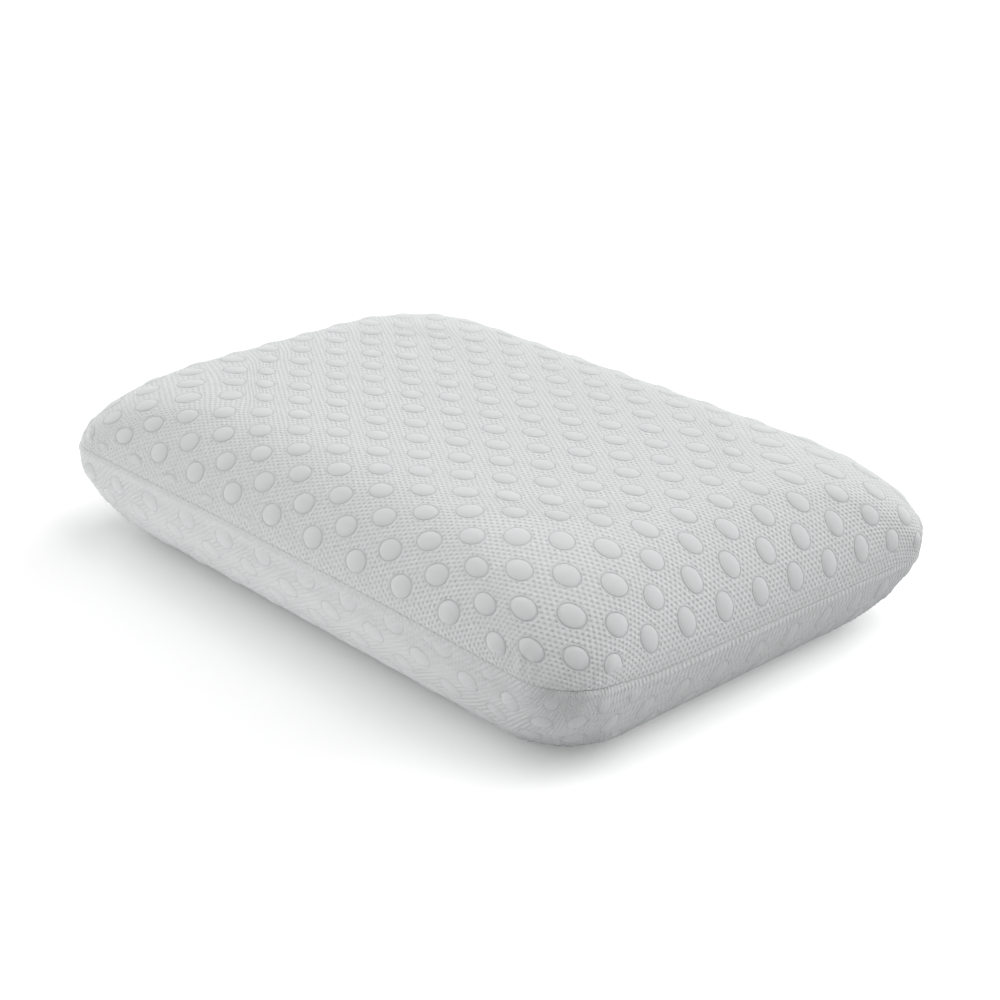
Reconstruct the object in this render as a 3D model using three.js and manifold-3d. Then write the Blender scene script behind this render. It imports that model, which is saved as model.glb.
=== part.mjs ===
// Bed pillow: a moulded foam core in a thin sewn liner, inside a removable knit cover that is
// sewn all round its middle and opens with a zip at the back.
// Millimetres, +Z up. X runs along the long side, the zip is on the +Y side, and Z = 0 is the bed.
import * as THREE from 'three';
import { mergeVertices } from 'three/addons/utils/BufferGeometryUtils.js';
import Module from 'manifold-3d';

const wasm = await Module();
wasm.setup();

// Overall size of the covered pillow.
const pillowLength = 610;
const pillowWidth = 408;
const shoulderHeight = 135;       // top of the rounded edge, above the bed
const crownRise = 3.5;            // how much higher the middle of the top stands

// How its sides are rounded.
const cornerRadius = 42;          // the corners seen from above, at the widest height
const topCornerGrowth = 1.15;     // how much rounder they get for each mm the outline steps in
const bottomCornerGrowth = 0.6;
const bottomInset = 48;           // from the widest outline in to the flat underside
const topInset = 96;              // from the widest outline in to the top of the rounded edge
const wallBottom = 62;            // the sides stand upright between these two heights
const wallTop = 74;
const topRoundness = [3.0, 1.6];  // across and up: 2 and 2 make an ellipse, more is squarer
const bottomRoundness = [1.8, 1.4];

// Layers, from the outside in.
const coverThickness = 2.4;
const linerThickness = 0.8;
const layerGap = 0.3;             // between the faces of neighbouring layers

// Seams.
const coverSeamHeight = 68;
const linerSeamHeight = 96;
const panelGap = 0.3;             // between the two panels of the cover
const threadGap = 0.3;            // round a seam's thread
const coverThreadHeight = 1.4;
const coverThreadDepth = 1.0;
const coverSkinOverThread = 1.1;  // knit left outside the thread
const linerThreadHeight = 1.2;

// Zip.
const coilLength = 400;
const coilHeight = 2.0;
const coilThickness = 1.8;
const chainGap = 1.2;             // between the upper and the lower half of the zip
const tapeHeight = 11;            // each half of the zip
const tapeThickness = 0.6;
const tapeOverhang = 10;          // tape beyond each end of the coil
const zipGap = 0.3;               // between fixed pieces of the zip
const slotHeight = 12.4;          // opening between the panels' folded edges
const slotEndRoom = 4.6;          // slot beyond each end of the coil
const stopLength = 3.2;

// Slider and pull.
const sliderLength = 11;
const sliderNoseHeight = 9.6;
const sliderTailHeight = 8.0;
const frontPlateThickness = 1.0;
const backPlateThickness = 0.8;
const sliderGap = 0.3;            // round the coils and tapes it slides on
const webThickness = 0.6;
const webLength = 4;
const lipThickness = 0.7;
const archWidth = 1.6;
const archWall = 0.9;
const archOpeningLength = 3.4;
const archOpeningHeight = 2.6;
const pullLength = 25;
const pullWidth = 6.4;
const pullThickness = 1.2;
const pullBar = 1.2;              // the bar of the pull that turns under the arch
const pullArchGap = 0.45;
const pullGripHole = 1.3;         // radius

// Blank care label in the back seam.
const labelWidth = 24;
const labelLength = 40;
const labelThickness = 0.5;
const labelFromSlot = 6;

// How finely the soft shape is cut into flats.
const cornerSteps = 7;
const longSideSteps = 5;
const shortSideSteps = 3;
const bottomSteps = 6;
const topSteps = 8;
const crownRings = [0.75, 0.5, 0.25];

// Worked out from the sizes above: depths are measured inwards from the cover's outer face.
const backFace = pillowWidth / 2;
const linerDepth = coverThickness + layerGap;
const coreDepth = linerDepth + linerThickness + layerGap;
const tapeFront = coverThickness + layerGap;
const tapeBack = tapeFront + tapeThickness;
const coilBack = tapeFront - zipGap;
const coilFront = coilBack - coilThickness;
const plateInner = coilFront - sliderGap;
const plateOuter = plateInner - frontPlateThickness;
const sliderBackInner = tapeBack + sliderGap;
const sliderBackOuter = sliderBackInner + backPlateThickness;
const pivotDepth = plateOuter - archOpeningHeight / 2;
const slotHalfLength = coilLength / 2 + slotEndRoom;
const tapeHalfLength = coilLength / 2 + tapeOverhang;

const materials = {
  cover: { color: 0xe4e6e6, roughness: 0.85, metalness: 0 },
  liner: { color: 0xf1f1ee, roughness: 0.85, metalness: 0 },
  foam: { color: 0xf2ead4, roughness: 0.9, metalness: 0 },
  thread: { color: 0xf4f4f2, roughness: 0.7, metalness: 0 },
  zipTape: { color: 0xe9eaea, roughness: 0.8, metalness: 0 },
  zipPlastic: { color: 0xeeeeec, roughness: 0.4, metalness: 0 },
  zipMetal: { color: 0xd9dadb, roughness: 0.35, metalness: 0 },
  label: { color: 0xf6f6f5, roughness: 0.5, metalness: 0 },
};

const pillow = new THREE.Group();

function addNode(parent, name, geometry, material) {
  const mesh = new THREE.Mesh(geometry, new THREE.MeshStandardMaterial(materials[material]));
  mesh.name = name;
  parent.add(mesh);
  return mesh;
}

function toSolid(geometry) {
  const bare = geometry.clone();
  bare.deleteAttribute('normal');
  bare.deleteAttribute('uv');
  const merged = mergeVertices(bare, 1e-4);
  return new wasm.Manifold(new wasm.Mesh({
    numProp: 3,
    vertProperties: new Float32Array(merged.attributes.position.array),
    triVerts: new Uint32Array(merged.index.array),
  }));
}

function toGeometry(solid) {
  const mesh = solid.getMesh();
  const geometry = new THREE.BufferGeometry();
  geometry.setAttribute('position', new THREE.BufferAttribute(mesh.vertProperties, mesh.numProp));
  geometry.setIndex(new THREE.BufferAttribute(mesh.triVerts, 1));
  geometry.computeVertexNormals();
  return geometry;
}

// A block between two opposite corners.
function block(low, high) {
  const size = high.map((value, axis) => value - low[axis]);
  const middle = high.map((value, axis) => (value + low[axis]) / 2);
  return toSolid(new THREE.BoxGeometry(...size).translate(...middle));
}

// Everything between two heights, wider than the pillow.
function slab(low, high) {
  return block([-pillowLength, -pillowWidth, low], [pillowLength, pillowWidth, high]);
}

// ---- The pillow's soft shape ----

// The side of the pillow as steps from the bed to the top of its rounded edge: how far each lies
// inside the widest outline, the radius of its corners, its height, the way it faces, and its
// share of the crown's rise.
function sideProfile() {
  const steps = [];
  const round = (angle, inset, height, [acrossPower, upPower]) => {
    const across = Math.cos(angle) ** (2 / acrossPower);
    const along = Math.sin(angle) ** (2 / upPower);
    const slope = [
      (acrossPower * across ** (acrossPower - 1)) / inset,
      (upPower * along ** (upPower - 1)) / height,
    ];
    const length = Math.hypot(...slope);
    return { across, along, out: slope[0] / length, up: slope[1] / length };
  };
  for (let step = bottomSteps; step >= 0; step--) {
    const angle = (step / bottomSteps) * (Math.PI / 2);
    const at = round(angle, bottomInset, wallBottom, bottomRoundness);
    const inset = bottomInset * (1 - at.across);
    steps.push({
      inset,
      corner: cornerRadius + bottomCornerGrowth * inset,
      height: wallBottom * (1 - at.along),
      out: at.out,
      up: -at.up,
      share: 0,
    });
  }
  for (let step = 0; step <= topSteps; step++) {
    const angle = (step / topSteps) * (Math.PI / 2);
    const rise = shoulderHeight - wallTop;
    const at = round(angle, topInset, rise, topRoundness);
    const inset = topInset * (1 - at.across);
    steps.push({
      inset,
      corner: cornerRadius + topCornerGrowth * inset,
      height: wallTop + rise * at.along,
      out: at.out,
      up: at.up,
      share: at.along,
    });
  }
  return steps;
}

// A rectangle with round corners, anticlockwise from above, with points along its straight sides.
function outline(halfLength, halfWidth, radius) {
  const signs = [[1, 1], [-1, 1], [-1, -1], [1, -1]];
  const cornerPoint = (corner, step) => {
    const [signX, signY] = signs[corner % 4];
    const angle = ((corner + step / cornerSteps) * Math.PI) / 2;
    return [
      signX * (halfLength - radius) + radius * Math.cos(angle),
      signY * (halfWidth - radius) + radius * Math.sin(angle),
    ];
  };
  const points = [];
  for (let corner = 0; corner < 4; corner++) {
    for (let step = 0; step <= cornerSteps; step++) points.push(cornerPoint(corner, step));
    const from = cornerPoint(corner, cornerSteps);
    const to = cornerPoint(corner + 1, 0);
    const sideSteps = corner % 2 === 0 ? longSideSteps : shortSideSteps;
    for (let step = 1; step < sideSteps; step++) {
      const share = step / sideSteps;
      points.push([from[0] + (to[0] - from[0]) * share, from[1] + (to[1] - from[1]) * share]);
    }
  }
  return points;
}

function crownAt(x, y) {
  return crownRise * (1 - (2 * x / pillowLength) ** 2) * (1 - (2 * y / pillowWidth) ** 2);
}

// The pillow's shape as one closed solid, its surface `depth` inside the cover's outer face.
function pillowSolid(depth) {
  const rings = sideProfile().map((step) => {
    const shrink = step.inset + depth * step.out;
    const halfWidth = pillowWidth / 2 - shrink;
    const radius = step.corner - depth * step.out;
    const points = outline(pillowLength / 2 - shrink, halfWidth, Math.min(radius, halfWidth - 4));
    return points.map(([x, y]) => [x, y, step.height - depth * step.up + step.share * crownAt(x, y)]);
  });
  const rim = rings[rings.length - 1];
  for (const scale of crownRings) {
    rings.push(rim.map(([x, y]) => {
      return [x * scale, y * scale, shoulderHeight - depth + crownAt(x * scale, y * scale)];
    }));
  }
  const count = rim.length;
  const bottomCentre = rings.length * count;
  const topCentre = bottomCentre + 1;
  const positions = [...rings.flat(2), 0, 0, depth, 0, 0, shoulderHeight - depth + crownAt(0, 0)];
  const faces = [];
  const topRing = (rings.length - 1) * count;
  for (let i = 0; i < count; i++) {
    const next = (i + 1) % count;
    faces.push(bottomCentre, next, i, topCentre, topRing + i, topRing + next);
    for (let ring = 0; ring < rings.length - 1; ring++) {
      const low = ring * count;
      const high = low + count;
      faces.push(low + i, low + next, high + next, low + i, high + next, high + i);
    }
  }
  const geometry = new THREE.BufferGeometry();
  geometry.setAttribute('position', new THREE.Float32BufferAttribute(positions, 3));
  geometry.setIndex(faces);
  return toSolid(geometry);
}

// A block across the back half of the pillow, centred on the zip.
function zipBlock(halfLength, halfHeight) {
  return block(
    [-halfLength, 0, coverSeamHeight - halfHeight],
    [halfLength, pillowWidth, coverSeamHeight + halfHeight],
  );
}

// A layer under the cover: the pillow's shape, pressed in where the zip lies against it.
function innerLayerSolid(depth) {
  const grow = depth - linerDepth;
  const tapeRoom = zipBlock(
    tapeHalfLength + zipGap + grow,
    chainGap / 2 + tapeHeight + zipGap + grow,
  ).subtract(pillowSolid(tapeBack + zipGap + grow));
  const sliderRoom = zipBlock(
    coilLength / 2 + zipGap + grow,
    sliderNoseHeight / 2 + zipGap + grow,
  ).subtract(pillowSolid(sliderBackOuter + sliderGap + grow));
  return pillowSolid(depth).subtract(tapeRoom).subtract(sliderRoom);
}

// A belt of the pillow's shape between two depths and two heights.
function belt(outerDepth, innerDepth, low, high) {
  return pillowSolid(outerDepth).subtract(pillowSolid(innerDepth)).intersect(slab(low, high));
}

// The stretch of a belt at the back of the pillow, between two places along X.
function backBelt(depths, heights, ends) {
  const stretch = block([ends[0], 0, -pillowWidth], [ends[1], pillowWidth, pillowWidth]);
  return belt(...depths, ...heights).intersect(stretch);
}

function addFoamCore() {
  addNode(pillow, 'foam_core', toGeometry(innerLayerSolid(coreDepth)), 'foam');
}

function addLiner() {
  const shell = innerLayerSolid(linerDepth).subtract(innerLayerSolid(linerDepth + linerThickness));
  const threadLow = linerSeamHeight - linerThreadHeight / 2;
  const threadHigh = linerSeamHeight + linerThreadHeight / 2;
  const upper = shell.intersect(slab(threadHigh + threadGap, 2 * shoulderHeight));
  const lower = shell.intersect(slab(-shoulderHeight, threadLow - threadGap));
  const thread = shell.intersect(slab(threadLow, threadHigh));
  addNode(pillow, 'liner_upper_panel', toGeometry(upper), 'liner');
  addNode(pillow, 'liner_lower_panel', toGeometry(lower), 'liner');
  addNode(pillow, 'liner_seam_thread', toGeometry(thread), 'thread');
}

function addCover() {
  const seam = coverSeamHeight;
  const zipSlot = zipBlock(slotHalfLength, slotHeight / 2);
  const grooveHalf = coverThreadHeight / 2 + threadGap;
  const groove = belt(
    coverSkinOverThread - threadGap,
    coverThickness + layerGap,
    seam - grooveHalf,
    seam + grooveHalf,
  );
  const shell = pillowSolid(0).subtract(pillowSolid(coverThickness)).subtract(groove).subtract(zipSlot);
  const top = shell.intersect(slab(seam + panelGap / 2, 2 * shoulderHeight));
  const bottom = shell.intersect(slab(-shoulderHeight, seam - panelGap / 2));
  addNode(pillow, 'cover_top_panel', toGeometry(top), 'cover');
  addNode(pillow, 'cover_bottom_panel', toGeometry(bottom), 'cover');

  const threadHalf = coverThreadHeight / 2;
  const threadEnd = zipBlock(slotHalfLength + threadGap, slotHeight / 2);
  const thread = belt(
    coverSkinOverThread,
    coverSkinOverThread + coverThreadDepth,
    seam - threadHalf,
    seam + threadHalf,
  ).subtract(threadEnd);
  addNode(pillow, 'cover_seam_thread', toGeometry(thread), 'thread');
}

// ---- The zip ----

// The tape and the coil of one half of the zip, and the stop that ends the coil.
function addZipHalf(name, side) {
  const heights = (height) => {
    const edges = [chainGap / 2, chainGap / 2 + height].map((edge) => coverSeamHeight + side * edge);
    return edges.sort((a, b) => a - b);
  };
  const coilDepths = [coilFront, coilBack];
  const halfCoil = coilLength / 2;
  const stopStart = halfCoil + zipGap;
  const tapeEnds = [-tapeHalfLength, tapeHalfLength];
  const tape = backBelt([tapeFront, tapeBack], heights(tapeHeight), tapeEnds);
  const coil = backBelt(coilDepths, heights(coilHeight), [-halfCoil, halfCoil]);
  const stop = backBelt(coilDepths, heights(coilHeight), [stopStart, stopStart + stopLength]);
  addNode(pillow, `zip_tape_${name}`, toGeometry(tape), 'zipTape');
  addNode(pillow, `zip_coil_${name}`, toGeometry(coil), 'zipPlastic');
  addNode(pillow, `zip_top_stop_${name}`, toGeometry(stop), 'zipMetal');
}

// One staple across both coils, where the zip starts.
function addBottomStop() {
  const half = chainGap / 2 + coilHeight;
  const heights = [coverSeamHeight - half, coverSeamHeight + half];
  const end = -(coilLength / 2 + zipGap);
  const stop = backBelt([coilFront, coilBack], heights, [end - stopLength, end]);
  addNode(pillow, 'zip_bottom_stop', toGeometry(stop), 'zipMetal');
}

// The slider and its pull are in a group at the closed end of the zip, on the back face at the
// seam. Its Y counts outwards from the cover.
const sliderGroup = new THREE.Group();
sliderGroup.position.set((coilLength - sliderLength) / 2, backFace, coverSeamHeight);
pillow.add(sliderGroup);

// A slider plate seen from behind the pillow: broad at the nose, narrower at the tail.
function sliderPlate(nearDepth, farDepth) {
  const nose = sliderNoseHeight / 2;
  const tail = sliderTailHeight / 2;
  const half = sliderLength / 2;
  const bevel = 1.4;
  const shape = new THREE.Shape([
    new THREE.Vector2(half, nose - bevel),
    new THREE.Vector2(half - bevel, nose),
    new THREE.Vector2(0, nose),
    new THREE.Vector2(-half + bevel, tail),
    new THREE.Vector2(-half, tail - bevel),
    new THREE.Vector2(-half, -tail + bevel),
    new THREE.Vector2(-half + bevel, -tail),
    new THREE.Vector2(0, -nose),
    new THREE.Vector2(half - bevel, -nose),
    new THREE.Vector2(half, -nose + bevel),
  ]);
  const plate = new THREE.ExtrudeGeometry(shape, { depth: farDepth - nearDepth, bevelEnabled: false });
  return toSolid(plate.rotateX(Math.PI / 2).translate(0, -nearDepth, 0));
}

// The arch that holds the pull, standing on the front plate.
function sliderArch() {
  const outerHalf = archOpeningLength / 2 + archWall;
  const top = archOpeningHeight + archWall;
  const root = -plateOuter - frontPlateThickness / 2;
  const outer = block(
    [-outerHalf, root, -archWidth / 2],
    [outerHalf, -plateOuter + top, archWidth / 2],
  );
  const opening = block(
    [-archOpeningLength / 2, -plateOuter, -archWidth],
    [archOpeningLength / 2, -plateOuter + archOpeningHeight, archWidth],
  );
  return outer.subtract(opening);
}

function addSlider() {
  const lipOuter = sliderTailHeight / 2;
  const lip = block(
    [-sliderLength / 2 + 2, -(tapeFront - sliderGap), lipOuter - lipThickness],
    [sliderLength / 2 - 2, -(plateInner - 0.2), lipOuter],
  );
  const web = block(
    [sliderLength / 2 - 1 - webLength, -(sliderBackInner + 0.2), -webThickness / 2],
    [sliderLength / 2 - 1, -(plateInner - 0.2), webThickness / 2],
  );
  const solid = sliderPlate(plateOuter, plateInner)
    .add(sliderPlate(sliderBackInner, sliderBackOuter))
    .add(web)
    .add(lip)
    .add(lip.mirror([0, 0, 1]))
    .add(sliderArch());
  addNode(sliderGroup, 'zip_slider', toGeometry(solid), 'zipMetal');
}

// The pull lies back over the closed zip. Its origin is the middle of the bar it turns on.
function addPull() {
  const archReach = Math.hypot(archOpeningLength / 2 + archWall, archOpeningHeight / 2 + archWall);
  const holeEnd = archReach + pullArchGap;
  const holeHalf = archWidth / 2 + pullArchGap;
  const half = pullWidth / 2;
  const neck = half - 0.5;
  const tip = pullLength - pullBar / 2 - half;
  const shape = new THREE.Shape();
  shape.moveTo(pullBar / 2, -neck);
  shape.lineTo(pullBar / 2, neck);
  shape.lineTo(-holeEnd, neck);
  shape.lineTo(-holeEnd - 3, half);
  shape.lineTo(-tip, half);
  shape.absarc(-tip, 0, half, Math.PI / 2, (3 * Math.PI) / 2, false);
  shape.lineTo(-holeEnd - 3, -half);
  shape.lineTo(-holeEnd, -neck);
  shape.closePath();
  const archHole = new THREE.Path([
    new THREE.Vector2(-pullBar / 2, -holeHalf),
    new THREE.Vector2(-pullBar / 2, holeHalf),
    new THREE.Vector2(-holeEnd, holeHalf),
    new THREE.Vector2(-holeEnd, -holeHalf),
  ]);
  const gripHole = new THREE.Path().absarc(-tip, 0, pullGripHole, 0, 2 * Math.PI, true);
  shape.holes.push(archHole, gripHole);
  const plate = new THREE.ExtrudeGeometry(shape, {
    depth: pullThickness,
    bevelEnabled: false,
    curveSegments: 10,
  });
  plate.rotateX(Math.PI / 2).translate(0, pullThickness / 2, 0);
  const mesh = addNode(sliderGroup, 'zip_pull', plate, 'zipMetal');
  mesh.position.y = -pivotDepth;
}

// The label hangs down from the seam over the bottom panel, beside the zip's first end.
function addCareLabel() {
  const end = -(slotHalfLength + labelFromSlot);
  const label = backBelt(
    [-(layerGap + labelThickness), -layerGap],
    [coverSeamHeight - labelLength, coverSeamHeight],
    [end - labelWidth, end],
  );
  addNode(pillow, 'care_label', toGeometry(label), 'label');
}

addFoamCore();
addLiner();
addCover();
addZipHalf('upper', 1);
addZipHalf('lower', -1);
addBottomStop();
addSlider();
addPull();
addCareLabel();

export default pillow;
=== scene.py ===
from math import cos, pi, radians, sin

import bmesh
import bpy
import numpy as np
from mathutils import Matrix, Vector


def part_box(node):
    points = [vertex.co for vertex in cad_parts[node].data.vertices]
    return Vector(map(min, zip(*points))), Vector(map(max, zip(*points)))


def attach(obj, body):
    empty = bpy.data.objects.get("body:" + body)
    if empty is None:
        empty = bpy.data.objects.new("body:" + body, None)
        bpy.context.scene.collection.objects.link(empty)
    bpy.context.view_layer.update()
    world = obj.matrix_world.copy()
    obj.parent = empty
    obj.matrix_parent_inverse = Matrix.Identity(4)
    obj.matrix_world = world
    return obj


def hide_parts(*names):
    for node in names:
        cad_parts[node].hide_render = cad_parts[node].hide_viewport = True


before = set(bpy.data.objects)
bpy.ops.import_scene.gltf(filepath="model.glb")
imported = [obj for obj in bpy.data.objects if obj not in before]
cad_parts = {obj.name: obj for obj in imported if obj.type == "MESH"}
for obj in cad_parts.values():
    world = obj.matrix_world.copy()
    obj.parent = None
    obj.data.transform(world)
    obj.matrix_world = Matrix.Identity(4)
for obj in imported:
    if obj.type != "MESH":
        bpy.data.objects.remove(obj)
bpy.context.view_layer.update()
scene = bpy.context.scene
mm = 0.001

camera = {"turn": 47.82, "rise": 23.72, "distance": 1.5948, "aimHeight": 0.060, "lens": 70.8,
          "shiftX": 0.0200, "shiftY": -0.0002}


def addCamera():
    turn, rise = radians(camera["turn"]), radians(camera["rise"])
    back = Vector((sin(turn) * cos(rise), -cos(turn) * cos(rise), sin(rise)))
    data = bpy.data.cameras.new("camera")
    data.lens = camera["lens"]
    data.sensor_width = 36
    data.shift_x = camera["shiftX"]
    data.shift_y = camera["shiftY"]
    eye = bpy.data.objects.new("camera", data)
    eye.location = Vector((0, 0, camera["aimHeight"])) + back * camera["distance"]
    eye.rotation_mode = "QUATERNION"
    eye.rotation_quaternion = (-back).to_track_quat("-Z", "Y")
    scene.collection.objects.link(eye)
    scene.camera = eye


addCamera()
print("camera ready")


class Number:
    # A number in a node tree. Adding, multiplying and so on put a Math node behind it.
    def __init__(self, tree, socket):
        self.tree = tree
        self.socket = socket

    def do(self, operation, *others):
        node = self.tree.nodes.new("ShaderNodeMath")
        node.operation = operation
        for place, value in enumerate((self, *others)):
            plug(self.tree, node.inputs[place], value)
        return Number(self.tree, node.outputs[0])

    def __add__(self, other):
        return self.do("ADD", other)

    def __sub__(self, other):
        return self.do("SUBTRACT", other)

    def __rsub__(self, other):
        return (self * -1.0).do("ADD", other)

    def __mul__(self, other):
        return self.do("MULTIPLY", other)

    def __truediv__(self, other):
        return self.do("DIVIDE", other)

    def __pow__(self, other):
        return self.do("POWER", other)

    def least(self, other):
        return self.do("MINIMUM", other)

    def most(self, other):
        return self.do("MAXIMUM", other)

    def wave(self):
        return self.do("COSINE")

    def smooth(self, start, end):
        # 0 before start, 1 after end
        node = self.tree.nodes.new("ShaderNodeMapRange")
        node.interpolation_type = "SMOOTHSTEP"
        for place, value in enumerate((self, start, end, 0.0, 1.0)):
            plug(self.tree, node.inputs[place], value)
        return Number(self.tree, node.outputs[0])


def plug(tree, socket, value):
    if isinstance(value, Number):
        value = value.socket
    if isinstance(value, bpy.types.NodeSocket):
        tree.links.new(value, socket)
    else:
        socket.default_value = value


def newNode(tree, kind, inputs=(), **settings):
    node = tree.nodes.new(kind)
    for name, value in settings.items():
        setattr(node, name, value)
    for key, value in dict(inputs).items():
        plug(tree, node.inputs[key], value)
    return node


def newGroup(name, kind, inputs, outputs):
    # inputs and outputs are {socket name: (socket type, default)}
    tree = bpy.data.node_groups.new(name, kind)
    for inOut, sockets in (("INPUT", inputs), ("OUTPUT", outputs)):
        for socketName, (socketType, default) in sockets.items():
            item = tree.interface.new_socket(socketName, in_out=inOut, socket_type="NodeSocket" + socketType)
            if default is not None:
                item.default_value = default
    source = tree.nodes.new("NodeGroupInput")
    given = {socket.name: socket for socket in source.outputs if socket.name}
    numbers = {key: Number(tree, value) for key, value in given.items()}
    return tree, numbers, tree.nodes.new("NodeGroupOutput")


def runTree(piece, tree, values):
    # Runs a Geometry Nodes tree on a piece and keeps its result as the piece's own mesh.
    modifier = piece.modifiers.new(tree.name, "NODES")
    modifier.node_group = tree
    for item in tree.interface.items_tree:
        if item.in_out == "INPUT" and item.name in values:
            modifier[item.identifier] = values[item.name]
    bpy.context.view_layer.update()
    shown = piece.evaluated_get(bpy.context.evaluated_depsgraph_get())
    made = bpy.data.meshes.new_from_object(shown, preserve_all_data_layers=True,
                                           depsgraph=bpy.context.evaluated_depsgraph_get())
    piece.modifiers.remove(modifier)
    old = piece.data
    piece.data = made
    made.name = piece.name
    bpy.data.meshes.remove(old)
    return piece


def newPiece(name, points, faces, smooth=True):
    mesh = bpy.data.meshes.new(name)
    mesh.from_pydata([tuple(p) for p in points], [], [tuple(f) for f in faces])
    mesh.validate()
    mesh.polygons.foreach_set("use_smooth", [smooth] * len(mesh.polygons))
    piece = bpy.data.objects.new(name, mesh)
    scene.collection.objects.link(piece)
    return piece


def storeVectors(piece, name, values):
    attribute = piece.data.attributes.new(name, "FLOAT_VECTOR", "POINT")
    attribute.data.foreach_set("vector", np.asarray(values, np.float32).ravel())


def normalsOf(piece):
    found = np.zeros(len(piece.data.vertices) * 3, np.float32)
    piece.data.vertex_normals.foreach_get("vector", found)
    return found.reshape(-1, 3).astype(float)


# The knit is a lattice of raised oval bubbles in a ground of small dimples.
knit = {
    "bubblePitchX": 50.8 * mm, "bubblePitchY": 37.67 * mm,
    "latticeTurn": -1.445, "latticeX": -213.2 * mm, "latticeY": 61.7 * mm,
    "bubbleHalfLength": 10.3 * mm, "bubbleHalfWidth": 8.0 * mm,
    "dimplePitchX": 7.26 * mm, "dimplePitchY": 4.19 * mm, "dimpleSharpness": 1.6,
    "loopPitchX": 0.00121, "loopPitchY": 0.00105,
    # how the lattice strays: broad waves everywhere and closer ones where the fabric was pulled
    "wanderScale": 22.0, "pullScale": 13.0,
    # places and widths round a bubble, where 1 is its outline
    "domePower": 0.8, "grooveAt": 1.04, "grooveWidth": 0.09, "haloAt": 1.32, "haloWidth": 0.18,
    "creaseAt": 1.03, "creaseWidth": 0.055, "groundStart": 1.06, "groundEnd": 1.22,
    # the ridge beside the seam, and the slant of the folds that gather by it
    "ridgeAt": 0.0045, "ridgeWidth": 0.0022, "foldLean": 40.0, "foldWander": 2.4, "foldScale": 30.0,
    # ribs run in a zigzag on the long sides, and are fainter on the bubbles
    "longSideStart": 0.18, "longSideEnd": 0.20, "zigzagRate": 90.0, "zigzagReach": 2.2, "ribOnBubble": 0.3,
}


def latticePlace(x, y):
    # Along and across the lattice, in metres from a bubble's centre.
    turn = radians(knit["latticeTurn"])
    fromX, fromY = x - knit["latticeX"], y - knit["latticeY"]
    along = fromX * cos(turn) + fromY * sin(turn)
    across = fromY * cos(turn) - fromX * sin(turn)
    return along, across


def strayed(tree, place, x, y, given):
    # The lattice wanders a little everywhere, and more where the fabric has been pulled out of line.
    along, across = latticePlace(x, y)
    for scale, amount in ((knit["wanderScale"], given["Wander"]), (knit["pullScale"], given["Pull"])):
        noise = newNode(tree, "ShaderNodeTexNoise", {"Vector": place, "Scale": scale, "Detail": 1.0})
        shift = splitFabric(tree, noise.outputs["Color"])
        along = along + (shift[0] - 0.5) * amount
        across = across + (shift[1] - 0.5) * amount
    return along, across


def bubbleDistance(along, across):
    # Distance from the nearest bubble's centre, 1 on its outline. Every second row is shifted.
    u, v = along / knit["bubblePitchX"], across / knit["bubblePitchY"]
    found = []
    for du, dv in ((u - u.do("ROUND"), v - v.do("ROUND")),
                   (u - u.do("FLOOR") - 0.5, v - v.do("FLOOR") - 0.5)):
        far = (du * (knit["bubblePitchX"] / knit["bubbleHalfLength"])) ** 2.0
        found.append((far + (dv * (knit["bubblePitchY"] / knit["bubbleHalfWidth"])) ** 2.0) ** 0.5)
    return found[0].least(found[1])


def dimpleField(along, across):
    # 1 in the middle of each dimple, 0 on the ridges between: three waves make a honeycomb.
    kx, ky = 2 * pi / knit["dimplePitchX"], 2 * pi / knit["dimplePitchY"]
    waves = (along * kx + across * ky).wave() + (across * ky - along * kx).wave() + (along * (2 * kx)).wave()
    return ((waves + 1.5) / 4.5).most(0.0) ** knit["dimpleSharpness"]


def hump(value, centre, width):
    # 1 at the centre, fading softly to 0 at about twice the width
    return (((value - centre) / width) ** 2.0 * -1.0).do("EXPONENT")


def splitFabric(tree, socket):
    parts = newNode(tree, "ShaderNodeSeparateXYZ", {0: socket}).outputs
    return [Number(tree, part) for part in parts]


def wearMaterial(tree, shaped, given, output):
    # The last step of each tree: the shape gets its material and leaves.
    worn = newNode(tree, "GeometryNodeSetMaterial",
                   {"Geometry": shaped.outputs[0], "Material": given["Material"]})
    plug(tree, output.inputs[0], worn.outputs[0])


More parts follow.
